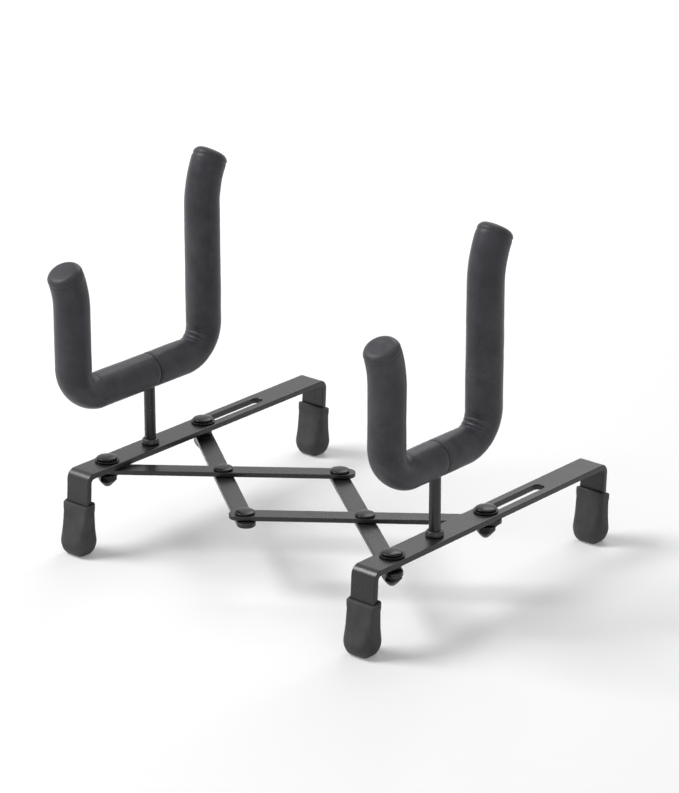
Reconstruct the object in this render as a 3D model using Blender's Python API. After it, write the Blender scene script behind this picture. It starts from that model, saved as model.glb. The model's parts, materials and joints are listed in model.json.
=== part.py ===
"""Folding violin stand of steel strip, with two padded cradles.

Two side rails of bent strip stand on rubber feet. Four flat links under the rails form two scissors in one
horizontal plane: each rail has a fixed front pivot and a rear pivot that slides in a slot, so the rails close
sideways. A post on each rail carries a U-shaped rod in two foam sleeves, with a low front arm and a tall back
arm. X runs across the stand, Y from front to back and Z up. All lengths are in metres.
"""
import math

import bmesh
import bpy
from mathutils import Vector

# Clearances
FACE_GAP = 0.0003
RUNNING_CLEARANCE = 0.0003
SLOT_CLEARANCE = 0.0004
OPEN_PIVOT_CLEARANCE = 0.0006

# Fasteners
BOLT_DIAMETER = 0.0040
HEAD_BAND = 0.0023
HEAD_HEIGHT = 0.0012
WASHER_BAND = 0.0031
WASHER_THICKNESS = 0.0006
NUT_WALL = 0.0013
NUT_HEX_HEIGHT = 0.0020
NUT_HEIGHT = 0.0050
NUT_TIP_DIAMETER = 0.0026
NUT_CAP_WALL = 0.0013
RIVET_DIAMETER = 0.0036
RIVET_TOP_BAND = 0.0023
RIVET_FOOT_BAND = 0.0014
RIVET_TOP_HEIGHT = 0.0010
RIVET_FOOT_HEIGHT = 0.0007

# Scissor links
LINK_LENGTH = 0.0975
LINK_WALL = 0.0016
LINK_THICKNESS = 0.0020
LINK_OVERHANG = 0.0066
LINK_EDGE = 0.0003
OPEN_ANGLE = math.radians(37.5)
FOLDED_ANGLE = math.radians(75.5)

# Side rails
RAIL_TOP = 0.0360
RAIL_THICKNESS = 0.0025
RAIL_BAR = 0.0037
RAIL_EDGE = 0.0004
RAIL_INNER_BEND = 0.0016
FRONT_MARGIN = 0.0178
REAR_MARGIN = 0.0373
LEG_END = 0.0064
FRONT_SPLAY = math.radians(3.0)
REAR_SPLAY = math.radians(-3.0)

# Rubber feet: seen from the front a foot is a U, seen from the side a drop
FOOT_HEIGHT = 0.0222
FOOT_SIDE_WALL = 0.0008
FOOT_TOP_WALL = 0.0013
FOOT_TOE_WALL = 0.0045
FOOT_TOE_HEIGHT = 0.0060
FOOT_ROUND_HEIGHT = 0.0068
FOOT_SOLE_WIDTH = 0.0064
FOOT_SOLE_DEPTH = 0.0036
FOOT_TAPER = 1.8
FOOT_CORNER = 0.0014
FOOT_LIP = 0.0005
FOOT_BACK_RISE = 0.0012

# Posts
POST_SETBACK = 0.0265
POST_DIAMETER = 0.0048
SPIGOT_DIAMETER = 0.0034
COLLAR_FOOT_BAND = 0.0011
COLLAR_TOP_BAND = 0.0005
COLLAR_HEIGHT = 0.0023
POST_EXPOSED = 0.0253

# Cradles: the reach of an arm is measured from the post, its rise from the middle of the bottom
ROD_DIAMETER = 0.0050
FOAM_WALL = 0.0049
FOAM_PINCH = 0.0009
SEAM_GAP = 0.0004
BEND_RADIUS = 0.0125
FLARE_RADIUS = 0.0400
FRONT_FLARE = math.radians(27.0)
BACK_FLARE = math.radians(34.0)
TIP_COVER = 0.0045
TIP_ROUNDING = 0.0030
LEFT_FRONT_REACH = 0.0447
LEFT_BACK_REACH = 0.0342
RIGHT_FRONT_REACH = 0.0300
RIGHT_BACK_REACH = 0.0305
FRONT_RISE = 0.0565
BACK_RISE = 0.0866

# Facets
TURNED_SIDES = 16
FOAM_SIDES = 20
ROD_SIDES = 10
BEND_STEPS = 6
FLARE_STEPS = 3
ROUNDING_STEPS = 3
CORNER_STEPS = 3
TOE_STEPS = 6
NECK_STEPS = 5
LINK_END_STEPS = 8

# Sizes that follow from the ones above
RAIL_SPACING = 2 * LINK_LENGTH * math.cos(OPEN_ANGLE)
PIVOT_SPREAD = LINK_LENGTH * math.sin(OPEN_ANGLE)
SLIDE_TRAVEL = LINK_LENGTH * math.sin(FOLDED_ANGLE) - PIVOT_SPREAD
BOLT_RADIUS = BOLT_DIAMETER / 2
RIVET_RADIUS = RIVET_DIAMETER / 2
SLOT_RADIUS = BOLT_RADIUS + SLOT_CLEARANCE
RAIL_WIDTH = 2 * (SLOT_RADIUS + RAIL_BAR)
RAIL_LENGTH = FRONT_MARGIN + PIVOT_SPREAD + SLIDE_TRAVEL + SLOT_RADIUS + REAR_MARGIN
LINK_HALF_WIDTH = BOLT_RADIUS + RUNNING_CLEARANCE + LINK_WALL
WASHER_RADIUS = BOLT_RADIUS + WASHER_BAND
NUT_RADIUS = BOLT_RADIUS + NUT_WALL
POST_RADIUS = POST_DIAMETER / 2
ROD_RADIUS = ROD_DIAMETER / 2
BORE_RADIUS = ROD_RADIUS + FACE_GAP
FOAM_RADIUS = BORE_RADIUS + FOAM_WALL
FOOT_NECK = RAIL_THICKNESS / 2 + FACE_GAP + FOOT_TOP_WALL
FOOT_TOE = RAIL_THICKNESS / 2 + FACE_GAP + FOOT_TOE_WALL
FOOT_CURVE = max(FOOT_TOE_HEIGHT, FOOT_ROUND_HEIGHT)

# Heights of the stack of strips, from the rail down
RAIL_UNDERSIDE = RAIL_TOP - RAIL_THICKNESS
UPPER_LINK_TOP = RAIL_UNDERSIDE - FACE_GAP
UPPER_LINK_FOOT = UPPER_LINK_TOP - LINK_THICKNESS
LOWER_LINK_TOP = UPPER_LINK_FOOT - FACE_GAP
LOWER_LINK_FOOT = LOWER_LINK_TOP - LINK_THICKNESS
CRADLE_HEIGHT = RAIL_TOP + POST_EXPOSED + FOAM_RADIUS

# Places along Y, with the middle of the rails at zero
RAIL_FRONT = -RAIL_LENGTH / 2
FRONT_PIVOT = RAIL_FRONT + FRONT_MARGIN
SLIDING_PIVOT = FRONT_PIVOT + PIVOT_SPREAD
CROSSING = (FRONT_PIVOT + SLIDING_PIVOT) / 2
POST_PLACE = FRONT_PIVOT + POST_SETBACK


def clear_objects():
    for thing in list(bpy.data.objects):
        bpy.data.objects.remove(thing, do_unlink=True)


def make_material(name, colour, roughness, metallic):
    material = bpy.data.materials.new(name)
    material.use_nodes = True
    shader = material.node_tree.nodes["Principled BSDF"]
    shader.inputs["Base Color"].default_value = (*colour, 1.0)
    shader.inputs["Roughness"].default_value = roughness
    shader.inputs["Metallic"].default_value = metallic
    return material


def make_empty(name, place, parent=None):
    """An axis or a reference point, at a world place."""
    empty = bpy.data.objects.new(name, None)
    empty.empty_display_size = 0.01
    bpy.context.collection.objects.link(empty)
    empty.parent = parent
    empty.location = Vector(place) - axis_place(parent)
    empty["axis_place"] = place
    return empty


def axis_place(empty):
    """World place of an unturned empty, before the whole stand is centred."""
    return Vector(empty["axis_place"]) if empty else Vector()


def make_object(name, mesh, material, parent, place):
    """Links a sub-part whose mesh is drawn about the world place given."""
    piece = bpy.data.objects.new(name, mesh)
    bpy.context.collection.objects.link(piece)
    piece.parent = parent
    piece.location = Vector(place) - axis_place(parent)
    if not mesh.materials:
        mesh.materials.append(material)
    return piece


def finish_mesh(name, bm, smooth=True):
    bmesh.ops.recalc_face_normals(bm, faces=bm.faces)
    mesh = bpy.data.meshes.new(name)
    bm.to_mesh(mesh)
    bm.free()
    if smooth:
        mesh.shade_smooth()
        mesh.set_sharp_from_angle(angle=math.radians(40))
    return mesh


def bridge_rings(bm, rings):
    """Side faces between consecutive closed rings of vertices, where a ring of one is a pole."""
    for low, high in zip(rings, rings[1:]):
        count = max(len(low), len(high))
        for i in range(count):
            j = (i + 1) % count
            corners = [low[i % len(low)], low[j % len(low)], high[j % len(high)], high[i % len(high)]]
            bm.faces.new(list(dict.fromkeys(corners)))


def turned_mesh(name, profile, sides=TURNED_SIDES):
    """Solid of revolution about Z through a list of (radius, height) that starts and ends on one axis."""
    bm = bmesh.new()
    rings = []
    for radius, height in profile:
        if radius == 0:
            rings.append([bm.verts.new((0, 0, height))])
            continue
        turns = [2 * math.pi * i / sides for i in range(sides)]
        rings.append([bm.verts.new((radius * math.cos(t), radius * math.sin(t), height)) for t in turns])
    if profile[0][0] > 0:
        rings.append(rings[0])
    bridge_rings(bm, rings)
    return finish_mesh(name, bm)


def ring_mesh(name, inner, outer, thickness, edge):
    """Flat ring about Z from height zero, with bevelled outer edges."""
    profile = [
        (inner, 0),
        (outer - edge, 0),
        (outer, edge),
        (outer, thickness - edge),
        (outer - edge, thickness),
        (inner, thickness),
    ]
    return turned_mesh(name, profile)


def cut(piece, cutter):
    """Boolean difference that stays on the piece."""
    modifier = piece.modifiers.new("cut " + cutter.name, "BOOLEAN")
    modifier.operation = "DIFFERENCE"
    modifier.solver = "EXACT"
    modifier.object = cutter


def make_cutter(name, mesh, parent, place):
    cutter = bpy.data.objects.new(name, mesh)
    bpy.context.collection.objects.link(cutter)
    cutter.parent = parent
    cutter.location = Vector(place) - axis_place(parent)
    cutter.display_type = "WIRE"
    cutter.hide_render = True
    return cutter


def drill_mesh(name, radius, low, high):
    return turned_mesh(name, [(0, low), (radius, low), (radius, high), (0, high)])


class Route:
    """Stations (distance, height, heading) of a path drawn by straight runs and arcs in a vertical plane."""

    def __init__(self, distance, height, heading):
        self.stations = [(distance, height, heading)]

    def run(self, length):
        distance, height, heading = self.stations[-1]
        distance += length * math.cos(heading)
        height += length * math.sin(heading)
        self.stations.append((distance, height, heading))

    def turn(self, radius, angle, steps):
        """Arc to the left for a positive angle, to the right for a negative one."""
        side = math.copysign(1, angle)
        for _ in range(steps):
            distance, height, heading = self.stations[-1]
            after = heading + angle / steps
            distance += side * radius * (math.sin(after) - math.sin(heading))
            height -= side * radius * (math.cos(after) - math.cos(heading))
            self.stations.append((distance, height, after))


def place_ring(bm, station, section, outward=1):
    """Ring of a section's (across, normal) points at a station, whose distances run along Y times outward."""
    distance, height, heading = station
    ring = []
    for across, normal in section:
        y = outward * (distance - normal * math.sin(heading))
        z = height + normal * math.cos(heading)
        ring.append(bm.verts.new((across, y, z)))
    return ring


def circle_section(radius, sides):
    turns = [2 * math.pi * i / sides for i in range(sides)]
    return [(radius * math.cos(t), radius * math.sin(t)) for t in turns]


def strip_section(width, thickness, edge):
    """Flat bar seen from its end, with bevelled corners."""
    w = width / 2
    t = thickness / 2
    return [
        (w - edge, -t), (w, -t + edge), (w, t - edge), (w - edge, t),
        (-w + edge, t), (-w, t - edge), (-w, -t + edge), (-w + edge, -t),
    ]


def swept_mesh(name, stations, section):
    """Closed solid of one section carried along the stations."""
    bm = bmesh.new()
    rings = [place_ring(bm, station, section) for station in stations]
    bridge_rings(bm, rings)
    bm.faces.new(rings[0])
    bm.faces.new(rings[-1])
    return finish_mesh(name, bm)


# Side rails

def leg_line(splay, end):
    """Route from the end of a rail's top run round the bend and down a leg that ends at a height."""
    bend = RAIL_INNER_BEND + RAIL_THICKNESS / 2
    route = Route(RAIL_LENGTH / 2 - bend - RAIL_THICKNESS / 2, RAIL_TOP - RAIL_THICKNESS / 2, 0.0)
    route.turn(bend, splay - math.pi / 2, BEND_STEPS)
    drop = route.stations[-1][1] - end
    route.run(drop / math.cos(splay))
    return route


def rail_stations():
    """Front leg upwards, along the top and down the rear leg."""
    front = leg_line(FRONT_SPLAY, LEG_END).stations
    rear = leg_line(REAR_SPLAY, LEG_END).stations
    mirrored = [(-distance, height, -heading) for distance, height, heading in reversed(front)]
    return mirrored + rear


def slot_mesh(name):
    """Cutter for the slot in which a pivot slides, drawn about the pivot's place when the stand is open."""
    bm = bmesh.new()
    rings = []
    for height in (RAIL_UNDERSIDE - RAIL_THICKNESS, RAIL_TOP + RAIL_THICKNESS):
        ring = []
        for centre, start in ((0.0, math.pi), (SLIDE_TRAVEL, 0.0)):
            for i in range(LINK_END_STEPS + 1):
                turn = start + math.pi * i / LINK_END_STEPS
                across = SLOT_RADIUS * math.cos(turn)
                along = centre + SLOT_RADIUS * math.sin(turn)
                ring.append(bm.verts.new((across, along, height)))
        rings.append(ring)
    bridge_rings(bm, rings)
    bm.faces.new(rings[0])
    bm.faces.new(rings[1])
    return finish_mesh(name, bm, smooth=False)


def build_rail(side, x, body, steel):
    section = strip_section(RAIL_WIDTH, RAIL_THICKNESS, RAIL_EDGE)
    rail = make_object(f"{side}_rail", swept_mesh("rail", rail_stations(), section), steel, body, (x, 0, 0))
    above = RAIL_TOP + RAIL_THICKNESS
    below = RAIL_UNDERSIDE - RAIL_THICKNESS
    bolt_hole = drill_mesh("rail bolt hole", BOLT_RADIUS + RUNNING_CLEARANCE, below, above)
    spigot_hole = drill_mesh("rail spigot hole", SPIGOT_DIAMETER / 2 + FACE_GAP, below, above)
    cut(rail, make_cutter(f"{side}_rail_bolt_hole", bolt_hole, body, (x, FRONT_PIVOT, 0)))
    cut(rail, make_cutter(f"{side}_rail_spigot_hole", spigot_hole, body, (x, POST_PLACE, 0)))
    cut(rail, make_cutter(f"{side}_rail_slot", slot_mesh("rail slot"), body, (x, SLIDING_PIVOT, 0)))


# Rubber feet

def toe_spread(height, curve):
    """Share of the foot's spread reached at a height, on an underside that is round up to a given height."""
    climb = min(1.0, height / curve)
    return math.sqrt(1 - (1 - climb) ** 2)


def foot_half_sizes(height):
    """Half the foot's width and depth: a round toe that is drawn in towards a flat neck."""
    side = RAIL_WIDTH / 2 + FACE_GAP + FOOT_SIDE_WALL
    sole_width = FOOT_SOLE_WIDTH / 2
    sole_depth = FOOT_SOLE_DEPTH / 2
    width = sole_width + (side - sole_width) * toe_spread(height, FOOT_ROUND_HEIGHT)
    if height <= FOOT_TOE_HEIGHT:
        return width, sole_depth + (FOOT_TOE - sole_depth) * toe_spread(height, FOOT_TOE_HEIGHT)
    climb = (height - FOOT_TOE_HEIGHT) / (FOOT_HEIGHT - FOOT_TOE_HEIGHT)
    return width, FOOT_NECK + (FOOT_TOE - FOOT_NECK) * (1 - climb) ** FOOT_TAPER


def foot_section(height, lip):
    """Rounded rectangle whose corners are full at the toe and tight at the neck."""
    half_width, half_depth = foot_half_sizes(height)
    half_width -= lip
    half_depth -= lip
    corner = min(0.9 * half_depth, 0.9 * half_width, FOOT_CORNER + max(0.0, half_depth - FOOT_NECK))
    points = []
    for quarter in range(4):
        turn_x = 1 if quarter in (0, 3) else -1
        turn_y = 1 if quarter in (0, 1) else -1
        for i in range(CORNER_STEPS + 1):
            turn = math.pi / 2 * (quarter + i / CORNER_STEPS)
            x = turn_x * (half_width - corner) + corner * math.cos(turn)
            y = turn_y * (half_depth - corner) + corner * math.sin(turn)
            points.append((x, y))
    return points


def leg_offset(splay, height):
    """Distance from the rail's middle to a leg's centre line at a height."""
    distance, foot, _ = leg_line(splay, LEG_END).stations[-1]
    return distance - (height - foot) * math.tan(splay)


def foot_mesh(name, splay, outward):
    """Rubber cap drawn about the rail's middle, with a flat sole on the floor and a higher back lip."""
    curved = [FOOT_CURVE * (1 - math.cos(math.pi / 2 * i / TOE_STEPS)) for i in range(TOE_STEPS + 1)]
    rest = FOOT_HEIGHT - FOOT_LIP - FOOT_CURVE
    climb = [FOOT_CURVE + rest * i / NECK_STEPS for i in range(1, NECK_STEPS + 1)]
    bm = bmesh.new()
    rings = []
    for height, lip in [(h, 0.0) for h in curved + climb] + [(FOOT_HEIGHT, FOOT_LIP)]:
        section = foot_section(height, lip)
        depth = max(y for _, y in section)
        share = max(0.0, height - FOOT_HEIGHT / 2) / (FOOT_HEIGHT / 2)
        ring = []
        for x, y in section:
            raised = height + FOOT_BACK_RISE * share * (depth - y) / (2 * depth)
            ring.append(bm.verts.new((x, outward * (leg_offset(splay, raised) + y), raised)))
        rings.append(ring)
    bridge_rings(bm, rings)
    bm.faces.new(rings[0])
    bm.faces.new(rings[-1])
    return finish_mesh(name, bm)


def pocket_mesh(name, splay, outward):
    """Cutter for the blind pocket that takes the end of a leg."""
    line = leg_line(splay, LEG_END).stations
    floor = (line[-1][0] + FACE_GAP * math.sin(splay), line[-1][1] - FACE_GAP, line[-1][2])
    mouth_drop = RAIL_THICKNESS / 2 + RAIL_INNER_BEND + FACE_GAP
    mouth_height = RAIL_TOP - mouth_drop
    mouth = (leg_offset(splay, mouth_height), mouth_height, line[-1][2])
    section = strip_section(RAIL_WIDTH + 2 * FACE_GAP, RAIL_THICKNESS + 2 * FACE_GAP, RAIL_EDGE)
    bm = bmesh.new()
    rings = [place_ring(bm, station, section, outward) for station in (floor, mouth)]
    bridge_rings(bm, rings)
    bm.faces.new(rings[0])
    bm.faces.new(rings[1])
    return finish_mesh(name, bm, smooth=False)


def build_feet(side, x, body, rubber):
    for end, splay, outward in (("front", FRONT_SPLAY, -1), ("rear", REAR_SPLAY, 1)):
        name = f"{side}_{end}_foot"
        foot = make_object(name, foot_mesh(name, splay, outward), rubber, body, (x, 0, 0))
        pocket = pocket_mesh(name + " pocket", splay, outward)
        cut(foot, make_cutter(name + "_pocket", pocket, body, (x, 0, 0)))


# Posts and cradles

def post_mesh():
    """Round post with a spigot that passes through the rail and ends flush under it."""
    spigot = SPIGOT_DIAMETER / 2
    shoulder = RAIL_TOP + FACE_GAP
    head = CRADLE_HEIGHT - ROD_RADIUS - FACE_GAP
    profile = [(0, RAIL_UNDERSIDE), (spigot, RAIL_UNDERSIDE), (spigot, shoulder), (POST_RADIUS, shoulder)]
    profile += [(POST_RADIUS, head), (0, head)]
    return turned_mesh("post", profile)


def build_post(side, x, body, steel):
    make_object(f"{side}_post", post_mesh(), steel, body, (x, POST_PLACE, 0))
    inner = POST_RADIUS + FACE_GAP
    foot = inner + COLLAR_FOOT_BAND
    head = inner + COLLAR_TOP_BAND
    profile = [(inner, 0), (foot, 0), (foot, COLLAR_HEIGHT / 3), (head, COLLAR_HEIGHT)]
    profile += [(inner, COLLAR_HEIGHT)]
    collar = turned_mesh("collar", profile)
    make_object(f"{side}_post_collar", collar, steel, body, (x, POST_PLACE, RAIL_TOP + FACE_GAP))


def arm_route(reach, rise, flare, cover, start=0.0):
    """Route from the post outwards, up an arm and along its flared tip, to end a cover short of the tip."""
    flare_rise = FLARE_RADIUS * math.sin(flare)
    route = Route(start, 0.0, 0.0)
    route.run(reach - BEND_RADIUS - start)
    route.turn(BEND_RADIUS, math.pi / 2, BEND_STEPS)
    route.run(rise - BEND_RADIUS - flare_rise)
    route.turn(FLARE_RADIUS, -(flare - cover / FLARE_RADIUS), FLARE_STEPS)
    return route


def cradle_rod_mesh(name, arms):
    front, back = (arm_route(reach, rise, flare, TIP_COVER).stations for _, reach, rise, flare, _ in arms)
    mirrored = [(-distance, height, -heading) for distance, height, heading in reversed(front[1:])]
    return swept_mesh(name, mirrored + back[1:], circle_section(ROD_RADIUS, ROD_SIDES))


def sleeve_mesh(name, reach, rise, flare, outward):
    """Foam tube over half a cradle: a butt end at the post, a blind bore for the rod and a rounded tip.

    The foam is squeezed across the bend, most of all in its middle.
    """
    start = SEAM_GAP / 2
    outer = arm_route(reach, rise, flare, TIP_ROUNDING, start)
    radii = [FOAM_RADIUS] * len(outer.stations)
    squeezes = [0.0] * len(outer.stations)
    for i in range(1, BEND_STEPS):
        squeezes[1 + i] = FOAM_PINCH * math.sin(math.pi * i / BEND_STEPS)
    tip_turn = TIP_ROUNDING / FLARE_RADIUS
    done = 0.0
    for i in range(1, ROUNDING_STEPS + 1):
        along = math.sin(math.pi / 2 * i / ROUNDING_STEPS)
        outer.turn(FLARE_RADIUS, -tip_turn * (along - done), 1)
        done = along
        inset = TIP_ROUNDING * (1 - math.cos(math.pi / 2 * i / ROUNDING_STEPS))
        radii.append(FOAM_RADIUS - inset)
        squeezes.append(0.0)
    bore = arm_route(reach, rise, flare, TIP_COVER - FACE_GAP, start)
    bm = bmesh.new()
    skin = []
    for station, radius, squeeze in zip(outer.stations, radii, squeezes):
        flat = 1 - squeeze / radius
        section = [(across, normal * flat) for across, normal in circle_section(radius, FOAM_SIDES)]
        skin.append(place_ring(bm, station, section, outward))
    bore_section = circle_section(BORE_RADIUS, FOAM_SIDES)
    lining = [place_ring(bm, station, bore_section, outward) for station in bore.stations]
    bridge_rings(bm, lining[::-1] + skin)
    bm.faces.new(lining[-1])
    bm.faces.new(skin[-1])
    return finish_mesh(name, bm)


def build_cradle(side, x, body, arms, steel, foam):
    place = (x, POST_PLACE, CRADLE_HEIGHT)
    rod = cradle_rod_mesh(f"{side} cradle rod", arms)
    make_object(f"{side}_cradle_rod", rod, steel, body, place)
    notch = drill_mesh("post notch", POST_RADIUS + FACE_GAP, -FOAM_RADIUS - FACE_GAP, 0.0)
    notch_cutter = make_cutter(f"{side}_post_notch", notch, body, place)
    for end, reach, rise, flare, outward in arms:
        name = f"{side}_{end}_sleeve"
        sleeve = make_object(name, sleeve_mesh(name, reach, rise, flare, outward), foam, body, place)
        cut(sleeve, notch_cutter)


# Scissor links

def link_mesh(name):
    """Flat bar with round ends and bevelled edges, drawn from its first pivot along +X, its top at zero."""
    end_centre = LINK_OVERHANG - LINK_HALF_WIDTH
    rings = []
    bm = bmesh.new()
    layers = (
        (0.0, LINK_EDGE),
        (-LINK_EDGE, 0.0),
        (LINK_EDGE - LINK_THICKNESS, 0.0),
        (-LINK_THICKNESS, LINK_EDGE),
    )
    for height, inset in layers:
        radius = LINK_HALF_WIDTH - inset
        ring = []
        for centre, start in ((LINK_LENGTH + end_centre, -math.pi / 2), (-end_centre, math.pi / 2)):
            for i in range(LINK_END_STEPS + 1):
                turn = start + math.pi * i / LINK_END_STEPS
                ring.append(bm.verts.new((centre + radius * math.cos(turn), radius * math.sin(turn), height)))
        rings.append(ring)
    bridge_rings(bm, rings)
    bm.faces.new(rings[0])
    bm.faces.new(rings[-1])
    return finish_mesh(name, bm)


def build_link(name, body, start, angle, top, holes, steel):
    """A link from its first pivot at a heading, with a hole of its own radius at each of three distances."""
    link = make_object(name, link_mesh(name), steel, body, (*start, top))
    link.rotation_euler.z = angle
    for label, distance, radius in holes:
        x = start[0] + distance * math.cos(angle)
        y = start[1] + distance * math.sin(angle)
        hole = drill_mesh(f"{name} {label}", radius, -2 * LINK_THICKNESS, LINK_THICKNESS)
        cut(link, make_cutter(f"{name}_{label}", hole, body, (x, y, top)))


# Fasteners

def bolt_mesh(name, foot):
    """Low domed head over its washer, with a plain shank down to a height below the rail's top."""
    seat = 2 * FACE_GAP + WASHER_THICKNESS
    head = BOLT_RADIUS + HEAD_BAND
    profile = [(0, seat + HEAD_HEIGHT)]
    for i in range(1, 4):
        turn = math.pi / 2 * i / 3
        profile.append((head * math.sin(turn), seat + HEAD_HEIGHT * (0.35 + 0.65 * math.cos(turn))))
    profile += [(head, seat), (BOLT_RADIUS, seat), (BOLT_RADIUS, foot), (0, foot)]
    return turned_mesh(name, profile)


def nut_mesh():
    """Closed nut below height zero: a hexagon that narrows to a blunt tip, with a blind bore."""
    bm = bmesh.new()
    bore = BOLT_RADIUS + FACE_GAP
    wide = NUT_RADIUS + FACE_GAP
    levels = [(0.0, 1.0, wide), (-NUT_HEX_HEIGHT, 1.0, wide)]
    for i in range(1, 4):
        drop = i / 3
        radius = wide + (NUT_TIP_DIAMETER / 2 - wide) * drop ** 1.5
        levels.append((-NUT_HEX_HEIGHT - (NUT_HEIGHT - NUT_HEX_HEIGHT) * drop, max(0.0, 0.5 - drop), radius))
    sides = 18
    rings = []
    for height, squareness, radius in levels:
        ring = []
        for i in range(sides):
            turn = 2 * math.pi * i / sides
            to_flat = (turn + math.pi / 6) % (math.pi / 3) - math.pi / 6
            reach = radius * (1 + squareness * (1 / math.cos(to_flat) - 1))
            ring.append(bm.verts.new((reach * math.cos(turn), reach * math.sin(turn), height)))
        rings.append(ring)
    lining = []
    for height in (NUT_CAP_WALL - NUT_HEIGHT, 0.0):
        turns = [2 * math.pi * i / sides for i in range(sides)]
        lining.append([bm.verts.new((bore * math.cos(t), bore * math.sin(t), height)) for t in turns])
    bridge_rings(bm, lining + rings)
    bm.faces.new(lining[0])
    bm.faces.new(rings[-1])
    return finish_mesh("nut", bm)


def build_rail_pivot(name, body, x, y, link_foot, spacer_top, steel):
    """Bolt, washers and closed nut that hold a link under a rail."""
    hole = BOLT_RADIUS + FACE_GAP
    washer = ring_mesh("washer", hole, WASHER_RADIUS, WASHER_THICKNESS, WASHER_THICKNESS / 4)
    make_object(f"{name}_head_washer", washer, steel, body, (x, y, RAIL_TOP + FACE_GAP))
    nut_top = link_foot - FACE_GAP
    if spacer_top is None:
        nut_top -= WASHER_THICKNESS
        foot_washer = washer.copy()
        make_object(f"{name}_foot_washer", foot_washer, steel, body, (x, y, nut_top))
        nut_top -= FACE_GAP
    else:
        spacer = ring_mesh("spacer", hole, LINK_HALF_WIDTH, LINK_THICKNESS, LINK_EDGE)
        make_object(f"{name}_spacer", spacer, steel, body, (x, y, spacer_top - LINK_THICKNESS))
    make_object(f"{name}_nut", nut_mesh(), steel, body, (x, y, nut_top))
    shank_foot = nut_top - NUT_HEIGHT + NUT_CAP_WALL + FACE_GAP - RAIL_TOP
    make_object(f"{name}_bolt", bolt_mesh(f"{name} bolt", shank_foot), steel, body, (x, y, RAIL_TOP))


def build_rivet(name, body, x, y, steel):
    """Rivet through an upper and a lower link, with a wide low dome above and a flat head below."""
    seat = UPPER_LINK_TOP + FACE_GAP
    foot = LOWER_LINK_FOOT - FACE_GAP
    dome = RIVET_RADIUS + RIVET_TOP_BAND
    flat = RIVET_RADIUS + RIVET_FOOT_BAND
    edge = RIVET_FOOT_HEIGHT / 2
    profile = [
        (0, seat + RIVET_TOP_HEIGHT),
        (0.6 * dome, seat + 0.85 * RIVET_TOP_HEIGHT),
        (dome, seat + 0.35 * RIVET_TOP_HEIGHT),
        (dome, seat),
        (RIVET_RADIUS, seat),
        (RIVET_RADIUS, foot),
        (flat, foot),
        (flat, foot - edge),
        (flat - edge, foot - RIVET_FOOT_HEIGHT),
        (0, foot - RIVET_FOOT_HEIGHT),
    ]
    make_object(name, turned_mesh(name, profile), steel, body, (x, y, 0))


def centre_on_base(stand):
    """Moves the whole stand so that the middle of its box, seen from above, is at the origin."""
    bpy.context.view_layer.update()
    graph = bpy.context.evaluated_depsgraph_get()
    corners = []
    for thing in bpy.data.objects:
        if thing.type != "MESH" or thing.hide_render:
            continue
        solid = thing.evaluated_get(graph)
        corners += [solid.matrix_world @ vertex.co for vertex in solid.data.vertices]
    for axis in (0, 1):
        places = [corner[axis] for corner in corners]
        stand.location[axis] -= (min(places) + max(places)) / 2


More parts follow.
